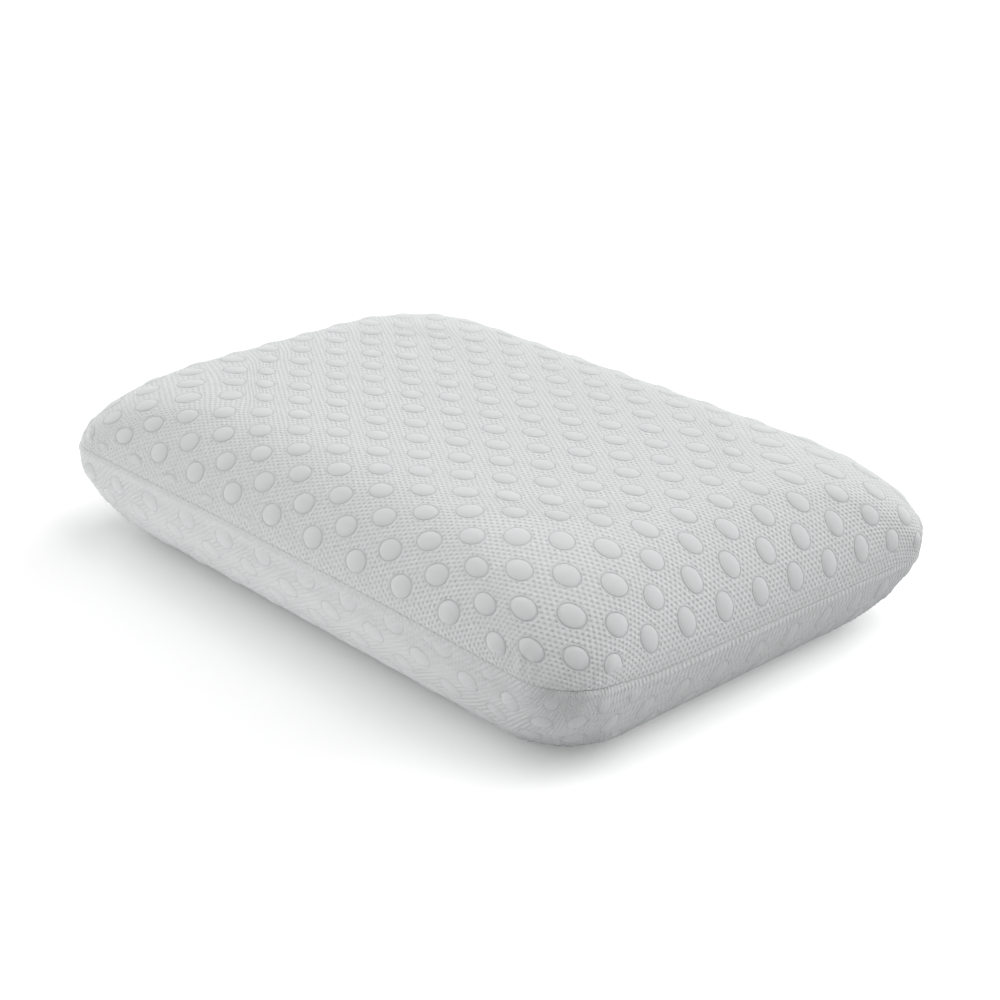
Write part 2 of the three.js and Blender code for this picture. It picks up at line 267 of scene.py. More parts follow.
def buildReliefTree():
    tree, given, output = newGroup("knitRelief", "GeometryNodeTree", {
        "Geometry": ("Geometry", None),
        "Bubble Height": ("Float", 0.0018),
        "Groove Depth": ("Float", 0.0005),
        "Halo Height": ("Float", 0.0003),
        "Edge Roll": ("Float", 0.0014),
        "Edge Width": ("Float", 0.0018),
        "Ridge Height": ("Float", 0.0006),
        "Wander": ("Float", 0.0015),
        "Pull": ("Float", 0.0),
        "Fold Height": ("Float", 0.001),
        "Fold Pitch": ("Float", 0.011),
        "Material": ("Material", None),
    }, {"Geometry": ("Geometry", None)})
    fabric = newNode(tree, "GeometryNodeInputNamedAttribute", {"Name": "fabric"}, data_type="FLOAT_VECTOR")
    wear = newNode(tree, "GeometryNodeInputNamedAttribute", {"Name": "weights"}, data_type="FLOAT_VECTOR")
    x, y, _ = splitFabric(tree, fabric.outputs[0])
    outside, bubbleShare, edge = splitFabric(tree, wear.outputs[0])
    along, across = strayed(tree, fabric.outputs[0], x, y, given)
    far = bubbleDistance(along, across)
    dome = (1.0 - far.least(1.0) ** 2.0) ** knit["domePower"] * given["Bubble Height"]
    groove = hump(far, knit["grooveAt"], knit["grooveWidth"]) * given["Groove Depth"]
    halo = hump(far, knit["haloAt"], knit["haloWidth"]) * given["Halo Height"]
    inEdge = (1.0 - edge / given["Edge Width"]).most(0.0) ** 2.0
    ridge = hump(edge, knit["ridgeAt"], knit["ridgeWidth"]) * given["Ridge Height"]
    gathered = newNode(tree, "GeometryNodeInputNamedAttribute", {"Name": "folds"}, data_type="FLOAT_VECTOR")
    foldShare, foldAlong, foldUp = splitFabric(tree, gathered.outputs[0])
    lean = newNode(tree, "ShaderNodeTexNoise",
                   {"Vector": fabric.outputs[0], "Scale": knit["foldScale"], "Detail": 0.0})
    phase = foldAlong / given["Fold Pitch"] + foldUp * knit["foldLean"]
    phase = phase + Number(tree, lean.outputs["Fac"]) * knit["foldWander"]
    fold = (phase * (2 * pi)).wave() * foldShare * given["Fold Height"]
    height = (dome - groove + halo) * bubbleShare + ridge + fold - inEdge * given["Edge Roll"]
    normal = newNode(tree, "GeometryNodeInputNormal")
    offset = newNode(tree, "ShaderNodeVectorMath",
                     {0: normal.outputs[0], "Scale": height * outside}, operation="SCALE")
    moved = newNode(tree, "GeometryNodeSetPosition",
                    {"Geometry": given["Geometry"], "Offset": offset.outputs[0]})
    real = newNode(tree, "GeometryNodeRealizeInstances", {0: moved.outputs[0]})
    wearMaterial(tree, real, given, output)
    return tree


def newMaterial(name):
    material = bpy.data.materials.new(name)
    material.use_nodes = True
    tree = material.node_tree
    return material, tree, tree.nodes["Principled BSDF"]


def mixColour(tree, share, first, second):
    node = newNode(tree, "ShaderNodeMix", data_type="RGBA")
    plug(tree, node.inputs[0], share)
    plug(tree, node.inputs[6], first)
    plug(tree, node.inputs[7], second)
    return node.outputs[2]


# dark is the colour painted as shade into the dimples, the creases round the bubbles and the rib furrows, and
# a little over the bubbles; the shares after bubbleShade set how much painted shade each one gets
coverLook = {
    "light": (0.655, 0.668, 0.668, 1), "dark": (0.36, 0.38, 0.39, 1),
    "cavityShade": 0.26, "bubbleShade": 0.07,
    "dimplePaintedShade": 0.6, "creasePaintedShade": 1.2, "furrowPaintedShade": 1.4, "mostPaintedShade": 1.3,
    "roughness": 0.9, "bubbleSmoother": 0.06, "sheen": 0.15, "sheenRoughness": 0.5, "specular": 0.25,
}


def buildKnitGroup():
    # The cover's fine relief and the shade painted into its dimples, creases and rib furrows, from a place on
    # the fabric in metres.
    tree, given, output = newGroup("knitGround", "ShaderNodeTree", {
        "Fabric": ("Vector", None),
        "Bubble Share": ("Float", 1.0),
        "Dimple Depth": ("Float", 0.55),
        "Groove Depth": ("Float", 0.45),
        "Stitch Depth": ("Float", 0.05),
        "Rib Depth": ("Float", 0.0),
        "Wander": ("Float", 0.0015),
        "Pull": ("Float", 0.0),
    }, {"Height": ("Float", None), "Cavity": ("Float", None), "Bubble": ("Float", None)})
    x, y, _ = splitFabric(tree, given["Fabric"])
    along, across = strayed(tree, given["Fabric"], x, y, given)
    far = bubbleDistance(along, across)
    onGround = 1.0 - (1.0 - far.smooth(knit["groundStart"], knit["groundEnd"])) * given["Bubble Share"]
    dimple = dimpleField(along, across) * onGround
    crease = hump(far, knit["creaseAt"], knit["creaseWidth"]) * given["Bubble Share"]
    # fine knitted loops all over
    loops = (along * (2 * pi / knit["loopPitchX"])).wave() * (across * (2 * pi / knit["loopPitchY"])).wave()
    # ribs: upright on the short sides, slanting in a zigzag on the long ones
    kx, ky = 2 * pi / knit["dimplePitchX"], 2 * pi / knit["dimplePitchY"]
    onLong = y.do("ABSOLUTE").smooth(knit["longSideStart"], knit["longSideEnd"])
    zigzag = along * kx + (across * knit["zigzagRate"]).do("SINE") * knit["zigzagReach"]
    upright = (latticePlace(x, y)[1] * ky).wave()
    rib = upright * (1.0 - onLong) + (across * ky + zigzag).wave() * onLong
    # painted shade in the furrows between the upright ribs on the short sides
    paintedFurrowShade = (0.5 - upright * 0.5) * (1.0 - onLong) * given["Rib Depth"]
    height = loops * given["Stitch Depth"] - dimple * given["Dimple Depth"] - crease * given["Groove Depth"]
    height = height + rib * given["Rib Depth"] * (onGround * (1 - knit["ribOnBubble"]) + knit["ribOnBubble"])
    plug(tree, output.inputs["Height"], height)
    # painted shade: the dimples, the creases round the bubbles and the rib furrows are coloured darker, as
    # shade falls in them
    shadedHollow = dimple * coverLook["dimplePaintedShade"] + crease * coverLook["creasePaintedShade"]
    shadedHollow = (shadedHollow + paintedFurrowShade * coverLook["furrowPaintedShade"]).least(coverLook["mostPaintedShade"])
    plug(tree, output.inputs["Cavity"], shadedHollow)
    plug(tree, output.inputs["Bubble"], 1.0 - onGround)
    return tree


knitGroup = buildKnitGroup()


def coverMaterial(name, dimpleDepth, grooveDepth, ribDepth, pull):
    material, tree, shader = newMaterial(name)
    place = newNode(tree, "ShaderNodeAttribute", attribute_name="fabric")
    group = newNode(tree, "ShaderNodeGroup", node_tree=knitGroup)
    plug(tree, group.inputs["Fabric"], place.outputs["Vector"])
    wear = newNode(tree, "ShaderNodeAttribute", attribute_name="weights")
    plug(tree, group.inputs["Bubble Share"], splitFabric(tree, wear.outputs["Vector"])[1])
    plug(tree, group.inputs["Dimple Depth"], dimpleDepth)
    plug(tree, group.inputs["Groove Depth"], grooveDepth)
    plug(tree, group.inputs["Rib Depth"], ribDepth)
    plug(tree, group.inputs["Pull"], pull)
    paintedShade, bubble = Number(tree, group.outputs["Cavity"]), Number(tree, group.outputs["Bubble"])
    # painted shade in the dimples, creases and rib furrows, and a slightly darker tone on the bubbles
    dark = paintedShade * coverLook["cavityShade"] + bubble * coverLook["bubbleShade"]
    plug(tree, shader.inputs["Base Color"], mixColour(tree, dark, coverLook["light"], coverLook["dark"]))
    plug(tree, shader.inputs["Roughness"], bubble * -coverLook["bubbleSmoother"] + coverLook["roughness"])
    shader.inputs["Sheen Weight"].default_value = coverLook["sheen"]
    shader.inputs["Sheen Roughness"].default_value = coverLook["sheenRoughness"]
    shader.inputs["Specular IOR Level"].default_value = coverLook["specular"]
    bumpOn(tree, shader, group.outputs["Height"])
    return material


def buildWeaveGroup():
    # Fine loops or threads that look alike on every face of a piece, from its place in metres.
    tree, given, output = newGroup("fineWeave", "ShaderNodeTree", {
        "Place": ("Vector", None),
        "Pitch": ("Float", 0.001),
        "Depth": ("Float", 0.1),
    }, {"Height": ("Float", None), "Hollow": ("Float", None)})
    waves = [(part * (2 * pi) / given["Pitch"]).wave() for part in splitFabric(tree, given["Place"])]
    field = (waves[0] * waves[1] + waves[1] * waves[2] + waves[2] * waves[0]) / 3.0
    plug(tree, output.inputs["Height"], field * given["Depth"])
    # painted shade: where the weave lies lowest it is marked for a darker colour
    plug(tree, output.inputs["Hollow"], field.smooth(0.1, -0.5))
    return tree


def buildBlotchGroup():
    # Slow, faint changes of shade over a surface.
    tree, given, output = newGroup("faintBlotches", "ShaderNodeTree", {
        "Place": ("Vector", None),
        "Scale": ("Float", 20.0),
        "Strength": ("Float", 0.1),
    }, {"Share": ("Float", None)})
    noise = newNode(tree, "ShaderNodeTexNoise",
                    {"Vector": given["Place"], "Scale": given["Scale"], "Detail": 3.0})
    plug(tree, output.inputs["Share"], Number(tree, noise.outputs["Fac"]) * given["Strength"])
    return tree


weaveGroup, blotchGroup = buildWeaveGroup(), buildBlotchGroup()


def placeOn(tree):
    return newNode(tree, "ShaderNodeTexCoord").outputs["Object"]


def bumpOn(tree, shader, height, strength=1.0):
    # Heights are in millimetres.
    bump = newNode(tree, "ShaderNodeBump", {"Height": height, "Distance": 0.001, "Strength": strength})
    plug(tree, shader.inputs["Normal"], bump.outputs[0])


wovenLooks = {
    # pitch and depth of the weave, its light colour and the dark one painted as shade in its hollows and as
    # faint random blotches, roughness and sheen
    "linerKnit": (0.0013, 0.10, (0.84, 0.84, 0.81, 1), (0.66, 0.66, 0.63, 1), 0.85, 0.1),
    "sewingThread": (0.0005, 0.05, (0.71, 0.71, 0.70, 1), (0.5, 0.5, 0.49, 1), 0.65, 0.2),
    "zipTapeWeave": (0.0008, 0.08, (0.64, 0.65, 0.65, 1), (0.44, 0.45, 0.45, 1), 0.75, 0.1),
    "labelSatin": (0.0004, 0.02, (0.71, 0.71, 0.70, 1), (0.62, 0.62, 0.61, 1), 0.4, 0.0),
    "nylonCoil": (0.003, 0.01, (0.68, 0.68, 0.67, 1), (0.58, 0.58, 0.57, 1), 0.28, 0.0),
}


def wovenMaterial(name):
    pitch, depth, light, dark, roughness, sheen = wovenLooks[name]
    material, tree, shader = newMaterial(name)
    weave = newNode(tree, "ShaderNodeGroup", node_tree=weaveGroup)
    blotch = newNode(tree, "ShaderNodeGroup", node_tree=blotchGroup)
    for group in (weave, blotch):
        plug(tree, group.inputs["Place"], placeOn(tree))
    weave.inputs["Pitch"].default_value = pitch
    weave.inputs["Depth"].default_value = depth
    blotch.inputs["Scale"].default_value = 35.0
    # the weave's hollows get painted shade; the blotches are faint random tone
    share = (Number(tree, weave.outputs["Hollow"]) * 0.5 + Number(tree, blotch.outputs["Share"])).least(1.0)
    plug(tree, shader.inputs["Base Color"], mixColour(tree, share, light, dark))
    plug(tree, shader.inputs["Roughness"], Number(tree, weave.outputs["Hollow"]) * 0.1 + roughness)
    shader.inputs["Sheen Weight"].default_value = sheen
    bumpOn(tree, shader, weave.outputs["Height"])
    return material


foamLook = {"light": (0.83, 0.76, 0.58, 1), "dark": (0.6, 0.51, 0.33, 1), "poreScale": 900.0,
            "poreEdge": 0.45, "poreMiddle": 0.05, "poreDepth": 0.35, "blotches": 0.35, "roughness": 0.95}


def foamMaterial():
    material, tree, shader = newMaterial("openFoam")
    place = placeOn(tree)
    pores = newNode(tree, "ShaderNodeTexVoronoi",
                    {"Vector": place, "Scale": foamLook["poreScale"], "Randomness": 1.0})
    # the pores' middles are painted darker as shade, and are also sunk by the bump
    shadedHollow = Number(tree, pores.outputs["Distance"]).smooth(foamLook["poreEdge"], foamLook["poreMiddle"])
    blotch = newNode(tree, "ShaderNodeGroup", node_tree=blotchGroup)
    plug(tree, blotch.inputs["Place"], place)
    blotch.inputs["Strength"].default_value = foamLook["blotches"]
    share = (shadedHollow * 0.5 + Number(tree, blotch.outputs["Share"])).least(1.0)
    plug(tree, shader.inputs["Base Color"], mixColour(tree, share, foamLook["light"], foamLook["dark"]))
    shader.inputs["Roughness"].default_value = foamLook["roughness"]
    bumpOn(tree, shader, shadedHollow * -foamLook["poreDepth"])
    return material


metalLook = {"lacquer": (0.68, 0.68, 0.69, 1), "bare": (0.55, 0.55, 0.56, 1), "grainScale": 1400.0,
             "rubStart": 0.54, "rubEnd": 0.62, "rubWander": 0.12, "bareMetallic": 0.9,
             "roughness": 0.24, "roughnessWander": 0.12, "grainDepth": 0.012}


def metalMaterial():
    # White lacquer, rubbed through to bright metal along the edges.
    material, tree, shader = newMaterial("lacqueredZipMetal")
    place = placeOn(tree)
    geometry = newNode(tree, "ShaderNodeNewGeometry")
    noise = newNode(tree, "ShaderNodeTexNoise",
                    {"Vector": place, "Scale": metalLook["grainScale"], "Detail": 3.0})
    grain = Number(tree, noise.outputs["Fac"])
    rub = Number(tree, geometry.outputs["Pointiness"]) + (grain - 0.5) * metalLook["rubWander"]
    worn = rub.smooth(metalLook["rubStart"], metalLook["rubEnd"])
    plug(tree, shader.inputs["Base Color"], mixColour(tree, worn, metalLook["lacquer"], metalLook["bare"]))
    plug(tree, shader.inputs["Metallic"], worn * metalLook["bareMetallic"])
    plug(tree, shader.inputs["Roughness"], grain * metalLook["roughnessWander"] + metalLook["roughness"])
    bumpOn(tree, shader, grain * metalLook["grainDepth"])
    return material


materials = {
    # depths of the dimples, the bubbles' creases and the ribs, and how far the fabric was pulled
    "coverTop": coverMaterial("coverTopKnit", 0.9, 0.45, 0.0, 0.0),
    "coverBottom": coverMaterial("coverBottomKnit", 0.45, 0.35, 0.28, 0.009),
    "linerKnit": wovenMaterial("linerKnit"),
    "thread": wovenMaterial("sewingThread"),
    "zipTape": wovenMaterial("zipTapeWeave"),
    "labelSatin": wovenMaterial("labelSatin"),
    "nylonCoil": wovenMaterial("nylonCoil"),
    "foam": foamMaterial(),
    "zipMetal": metalMaterial(),
}

print(len(materials), "materials ready")

pillow = {
    "halfLength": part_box("cover_top_panel")[1].x, "halfWidth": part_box("cover_top_panel")[1].y,
    "topHeight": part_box("cover_top_panel")[1].z, "crownRise": 3.5 * mm, "cornerRadius": 42 * mm,
    "seamHeight": 68 * mm, "seamLift": 13 * mm, "seamDip": 7.5 * mm,
    "slotHalfLength": 204.6 * mm, "slotHalfHeight": 6.2 * mm,
    "seamGap": 0.02 * mm, "slotFadeEnd": 0.2155, "slotBack": (0.15, 0.18),
    # the front's rise of the seam is greatest at liftCentre, and the dip lies within these ranges
    "liftCentre": -0.05, "liftReach": 0.6, "dipAlongX": (0.225, 0.300), "dipAlongY": (-0.19, -0.10),
    # corners keep some straight side between them, and the fabric's slack there fades over cornerSlack
    "cornerRoom": 4 * mm, "cornerSoft": 6 * mm, "cornerSlack": 0.13,
    "profileSteps": 500, "profileOverlap": 0.04,
}
sideShapes = {
    # powers are across and up: 2 and 2 make an ellipse, more is squarer
    "top": {"inset": 96 * mm, "wallEnd": 74 * mm, "cornerGrowth": 1.15, "powers": (3.0, 1.6)},
    "bottom": {"inset": 48 * mm, "wallEnd": 62 * mm, "cornerGrowth": 0.6, "powers": (1.8, 1.4)},
}


def crownAt(x, y):
    return pillow["crownRise"] * (1 - (x / pillow["halfLength"]) ** 2) * (1 - (y / pillow["halfWidth"]) ** 2)


def smoothStep(value, start, end):
    t = np.clip((value - start) / (end - start), 0, 1)
    return t * t * (3 - 2 * t)


def seamLiftAt(x, y):
    # The sewn seam rides up along the front, where the cover has been pulled over the foam, and
    # dips along the short side at the zip's closed end.
    fromCentre = (x - pillow["liftCentre"]) / pillow["liftReach"]
    front = 0.5 * (1 - y / pillow["halfWidth"]) * (1 - fromCentre ** 2)
    dip = smoothStep(x, *pillow["dipAlongX"]) * smoothStep(y, *pillow["dipAlongY"])
    return pillow["seamLift"] * front - pillow["seamDip"] * dip


class Side:
    # One half of the pillow's side, from the rim of its flat face to the seam and a little past it.
    def __init__(self, isTop):
        self.isTop = isTop
        self.shape = sideShapes["top" if isTop else "bottom"]
        self.inset = self.shape["inset"]
        inset, height, along = self.rounding(isTop)
        # then the upright wall and the start of the other half's rounding
        otherInset, otherHeight, _ = self.rounding(not isTop)
        near = np.abs(otherHeight - height[-1]) < pillow["profileOverlap"]
        inset = np.append(inset, otherInset[near][::-1])
        height = np.append(height, otherHeight[near][::-1])
        along = np.append(along, np.zeros(near.sum()))
        steps = np.hypot(np.diff(inset), np.diff(height))
        self.s = np.concatenate([[0], np.cumsum(steps)])
        self.insets, self.heights = inset, height
        self.share = along if isTop else along * 0
        self.wallStart = self.s[pillow["profileSteps"] - 1]
        self.rimX = pillow["halfLength"] - self.inset
        self.rimY = pillow["halfWidth"] - self.inset
        self.rho = self.ringRadius(np.array([self.inset]))[0]
        self.flat = height[0]
        order = np.argsort(height)
        self.sortedHeights, self.sortedS = height[order], self.s[order]

    def rounding(self, isTop):
        # Insets and heights from the flat face's rim to the upright wall.
        shape = sideShapes["top" if isTop else "bottom"]
        flat = pillow["topHeight"] - pillow["crownRise"] if isTop else 0.0
        angle = np.linspace(pi / 2, 0, pillow["profileSteps"])
        acrossPower, upPower = shape["powers"]
        across = np.cos(angle).clip(0) ** (2 / acrossPower)
        along = np.sin(angle).clip(0) ** (2 / upPower)
        return shape["inset"] * (1 - across), shape["wallEnd"] + (flat - shape["wallEnd"]) * along, along

    def ringRadius(self, inset):
        wanted = pillow["cornerRadius"] + self.shape["cornerGrowth"] * inset
        room = pillow["halfWidth"] - inset - pillow["cornerRoom"]
        soft = pillow["cornerSoft"]
        return -soft * np.logaddexp(-wanted / soft, -room / soft)

    def lengthAt(self, height):
        # Length along the side from the rim to any height.
        return np.interp(height, self.sortedHeights, self.sortedS)

    def ringPlace(self, x, y):
        # Where a place on the fabric lies: length past the rim, and length round its ring from the
        # middle of the long side. x and y aren't negative.
        s1, s2 = y - self.rimY, x - self.rimX
        cx, cy = s2 + self.rho, s1 + self.rho
        corner = (cx + cy - np.sqrt(np.maximum(2 * self.rho ** 2 - (cx - cy) ** 2, 0))) / 2
        onLong = x <= self.rimX + s1 - self.rho
        onShort = ~onLong & (y <= self.rimY + s2 - self.rho)
        s = np.where(onLong, s1, np.where(onShort, s2, corner))
        start = self.rimX + s - self.rho
        angle = np.arctan2(cx - s, cy - s)
        quarter = self.rho * pi / 2
        a = np.where(onLong, x, np.where(onShort, start + quarter + self.rimY + s - self.rho - y,
                                         start + self.rho * angle))
        return s, a

    def onRing(self, a, halfX, halfY, radius):
        # The point at length a round a quarter of a rounded rectangle.
        start = halfX - radius
        angle = np.clip((a - start) / radius, 0, pi / 2)
        late = np.maximum(a - start - radius * pi / 2, 0)
        x = np.minimum(a, start) + radius * np.sin(angle)
        y = halfY - radius + radius * np.cos(angle) - late
        return x, y

    def place(self, s, a):
        # The pillow's surface at s past the rim and a round the ring of fabric there.
        inset = np.interp(s, self.s, self.insets)
        z = np.interp(s, self.s, self.heights)
        share = np.interp(s, self.s, self.share)
        halfX, halfY = pillow["halfLength"] - inset, pillow["halfWidth"] - inset
        radius = self.ringRadius(inset)
        eighth = pi / 4
        fabricX, fabricY = self.rimX + s - self.rho, self.rimY + s - self.rho
        easing = pillow["cornerSlack"]
        firstF, firstR = fabricX + self.rho * eighth, halfX - radius + radius * eighth
        lastF, lastR = fabricY + self.rho * eighth, halfY - radius + radius * eighth
        back = firstF + lastF - a
        near = a - (firstF - firstR) * np.clip((a - firstF) / easing + 1, 0, 1) ** 2
        easing = np.minimum(easing, lastF)
        farther = back - (lastF - lastR) * np.clip((back - lastF) / easing + 1, 0, 1) ** 2
        ring = np.where(a <= firstF, near, firstR + lastR - farther)
        x, y = self.onRing(ring, halfX, halfY, radius)
        return x, y, z, share


gridSizes = {"bendStart": 0.006, "bendEnd": 0.13, "slack": 0.16}


def roundedGrid(halfX, halfY, radius, step, edgeRows):
    # A grid of places on a rounded rectangle of fabric: square cells inside, and rows along the
    # edge that follow its round corners. Returns places and, for each, its distance from the edge.
    def line(half):
        count = int(round((half - edgeRows[-1]) / step))
        inner = np.linspace(0, half - edgeRows[-1], count + 1)
        quarter = np.concatenate([inner, half - np.array(edgeRows[-2::-1])])
        return np.concatenate([-quarter[:0:-1], quarter])

    gx, gy = np.meshgrid(line(halfX), line(halfY))
    t = np.minimum(halfX - np.abs(gx), halfY - np.abs(gy))
    bend = radius * (1 - smoothStep(t, gridSizes["bendStart"], gridSizes["bendEnd"]))
    ringX, ringY = halfX - t, halfY - t
    onLong = halfY - np.abs(gy) <= halfX - np.abs(gx)
    a = np.where(onLong, np.abs(gx), np.abs(gy))
    length = np.where(onLong, ringX, ringY)
    easing = np.minimum(gridSizes["slack"], np.maximum(length, 1e-6))
    a = a - bend * (1 - pi / 4) * np.clip((a - length) / easing + 1, 0, 1) ** 2
    straight = length - bend
    angle = np.clip((a - straight) / np.maximum(bend, 1e-9), 0, pi / 4)
    first = np.minimum(a, straight) + bend * np.sin(angle)
    second = np.where(onLong, ringY, ringX) - bend * (1 - np.cos(angle))
    x = np.where(onLong, first, second) * np.sign(gx)
    y = np.where(onLong, second, first) * np.sign(gy)
    return np.stack([x, y], -1), t, gx / halfX, gy / halfY


def zipShare(x, y):
    # 1 along the opening for the zip, 0 away from it.
    alongSlot = 1 - smoothStep(np.abs(x), pillow["slotHalfLength"], pillow["slotFadeEnd"])
    return alongSlot * smoothStep(y, *pillow["slotBack"])


def edgeHeight(side, x, y):
    gap = pillow["seamGap"] + (pillow["slotHalfHeight"] - pillow["seamGap"]) * zipShare(x, y)
    return pillow["seamHeight"] + seamLiftAt(x, y) + gap * (1 if side.isTop else -1)


def panelShape(side, step, edgeRows):
    # Places of a panel's grid in space and on the fabric, and each one's distance from the edge.
    reach = side.lengthAt(pillow["seamHeight"])
    grid, t, gx, gy = roundedGrid(side.rimX + reach, side.rimY + reach, side.rho, step, edgeRows)
    signs = np.where(grid < 0, -1.0, 1.0)
    x, y = np.abs(grid[..., 0]), np.abs(grid[..., 1])
    s, a = side.ringPlace(x, y)
    px, py, _, _ = side.place(np.maximum(s, 0), a)
    wanted = side.lengthAt(edgeHeight(side, px * signs[..., 0], py * signs[..., 1]))
    rampStart = cover["rampStart"] * side.wallStart
    ramp = np.clip((s - rampStart) / (reach - rampStart), 0, 1)
    change = (wanted - reach) * ramp
    roundCorner = np.clip((a - (side.rimX + s - side.rho)) / (side.rho * pi / 2), 0, 1)
    a = a + 2 * change * roundCorner
    s = s + change
    px, py, pz, share = side.place(np.maximum(s, 0), a)
    fabricX, fabricY = side.onRing(a, side.rimX + s, side.rimY + s, side.rho)
    inside = s < 0
    px, py = np.where(inside, x, px), np.where(inside, y, py)
    pz = np.where(inside, side.flat, pz)
    share = np.where(inside, 1.0 if side.isTop else 0.0, share)
    fabric = np.stack([np.where(inside, x, fabricX), np.where(inside, y, fabricY)], -1) * signs
    px, py = px * signs[..., 0], py * signs[..., 1]
    pz = pz + share * crownAt(px, py)
    return {
        "points": np.stack([px, py, pz], -1),
        "fabric": fabric,
        "edge": np.maximum(wanted - s, 0) * np.where(inside, 0, 1) + np.where(inside, 1.0, 0),
        "corner": np.where(inside, 0, 4 * roundCorner * (1 - roundCorner)),
        "around": a,
        "gx": gx, "gy": gy,
    }


def gridFaces(rows, columns, start=0, flip=False):
    index = start + np.arange(rows * columns).reshape(rows, columns)
    faces = np.stack([index[:-1, :-1], index[:-1, 1:], index[1:, 1:], index[1:, :-1]], -1).reshape(-1, 4)
    return faces[:, ::-1] if flip else faces


def rimOrder(rows, columns):
    # The indices round the edge of a grid, anticlockwise.
    index = np.arange(rows * columns).reshape(rows, columns)
    return np.concatenate([index[0, :-1], index[:-1, -1], index[-1, :0:-1], index[:0:-1, 0]])


cover = {"thickness": 2.4 * mm, "topStep": 1.6 * mm, "bottomStep": 1.9 * mm, "lining": 4,
         "edgeRows": [0.0, 0.0004, 0.0009, 0.0015, 0.0023, 0.0034, 0.0048],
         # the share of the rounding above which the fabric follows the seam up and down
         "rampStart": 0.6,
         # bubbles are flat behind the zip and the label, on the ground and beside the seam
         "flatBehind": 0.93, "backStart": 0.185, "backEnd": 0.195,
         "zipAlong": (0.240, 0.262), "zipUp": (0.012, 0.026),
         "labelLeft": (-0.252, -0.240), "labelRight": (-0.206, -0.196),
         "labelLow": (0.014, 0.024), "labelHigh": (0.07, 0.08),
         "flatUnder": 0.85, "underEnd": 0.012, "flatBySeam": (0.005, 0.013),
         # folds start and end by their distance from the seam above it, and by height below it
         "topFolds": ((0.002, 0.006), (0.010, 0.026)), "bottomFolds": ((0.001, 0.006), (0.020, 0.045))}


def lineSteps(count, every):
    # Every few grid lines, and always the outermost.
    middle = count // 2
    half = list(range(middle, -1, -every))
    if half[-1] != 0:
        half.append(0)
    return np.array(sorted(set(half) | {count - 1 - i for i in half}))


def flatShare(side, points, edge):
    # What is left of the bubbles' height: less by the zip, the label, the ground and the seam.
    x, y, z = points.T
    atBack = smoothStep(y, cover["backStart"], cover["backEnd"])
    byZip = (1 - smoothStep(np.abs(x), *cover["zipAlong"])) * atBack
    byZip = byZip * (1 - smoothStep(np.abs(z - pillow["seamHeight"]), *cover["zipUp"]))
    byLabel = smoothStep(x, *cover["labelLeft"]) * (1 - smoothStep(x, *cover["labelRight"])) * atBack
    byLabel = byLabel * smoothStep(z, *cover["labelLow"]) * (1 - smoothStep(z, *cover["labelHigh"]))
    quiet = np.maximum(byZip, byLabel)
    onFloor = 0.0 if side.isTop else 1.0
    pressed = 1 - onFloor * cover["flatUnder"] * (1 - smoothStep(z, 0.0, cover["underEnd"]))
    bySeam = smoothStep(edge, *cover["flatBySeam"])  # the seam's pull flattens the bubbles beside it
    return (1 - cover["flatBehind"] * quiet) * pressed * bySeam


def coverPanel(name, side, step):
    shape = panelShape(side, step, cover["edgeRows"])
    rows, columns = shape["points"].shape[:2]
    points = shape["points"].reshape(-1, 3)
    outer = newPiece(name + "Face", points, gridFaces(rows, columns, flip=not side.isTop))
    normals = normalsOf(outer)
    bpy.data.objects.remove(outer)
    # the inner face has fewer lines, and one many-cornered face closes the edge beside each of its cells
    pickRows, pickColumns = lineSteps(rows, cover["lining"]), lineSteps(columns, cover["lining"])
    index = np.arange(rows * columns).reshape(rows, columns)
    picked = index[np.ix_(pickRows, pickColumns)]
    inner = (points - normals * cover["thickness"])[picked.ravel()]
    start = rows * columns
    faces = [tuple(f) for f in gridFaces(rows, columns, flip=not side.isTop)]
    faces += [tuple(f) for f in gridFaces(len(pickRows), len(pickColumns), start, flip=side.isTop)]
    outerRim = rimOrder(rows, columns)
    innerRim = rimOrder(len(pickRows), len(pickColumns))
    spot = {v: i for i, v in enumerate(outerRim)}
    stops = [spot[v] for v in picked.ravel()[innerRim]]
    for i, low in enumerate(stops):
        high = stops[(i + 1) % len(stops)]
        high = high if high > low else high + len(outerRim)
        run = [outerRim[k % len(outerRim)] for k in range(low, high + 1)]
        face = run[::-1] + [start + innerRim[i], start + innerRim[(i + 1) % len(stops)]]
        faces.append(tuple(face if side.isTop else face[::-1]))
    piece = newPiece(name, np.concatenate([points, inner]), faces)
    fabric = np.zeros((start + len(inner), 3))
    fabric[:start, :2] = shape["fabric"].reshape(-1, 2)
    fabric[start:, :2] = fabric[picked.ravel(), :2]
    storeVectors(piece, "fabric", fabric)
    weights = np.zeros((start + len(inner), 3))
    edge = shape["edge"].ravel()
    weights[:start, 0] = 1
    weights[:start, 1] = flatShare(side, points, edge)
    weights[:start, 2] = edge
    storeVectors(piece, "weights", weights)
    # the spare fabric at the corners gathers into short folds by the seam and under the edge
    x, _, z = points.T
    rise, fade = cover["topFolds" if side.isTop else "bottomFolds"]
    measure = edge if side.isTop else z
    reached = smoothStep(measure, *rise) * (1 - smoothStep(measure, *fade))
    folds = np.zeros((start + len(inner), 3))
    folds[:start, 0] = shape["corner"].ravel() * reached
    folds[:start, 1] = shape["around"].ravel() * np.sign(x + 1e-9)
    folds[:start, 2] = z
    storeVectors(piece, "folds", folds)
    return piece


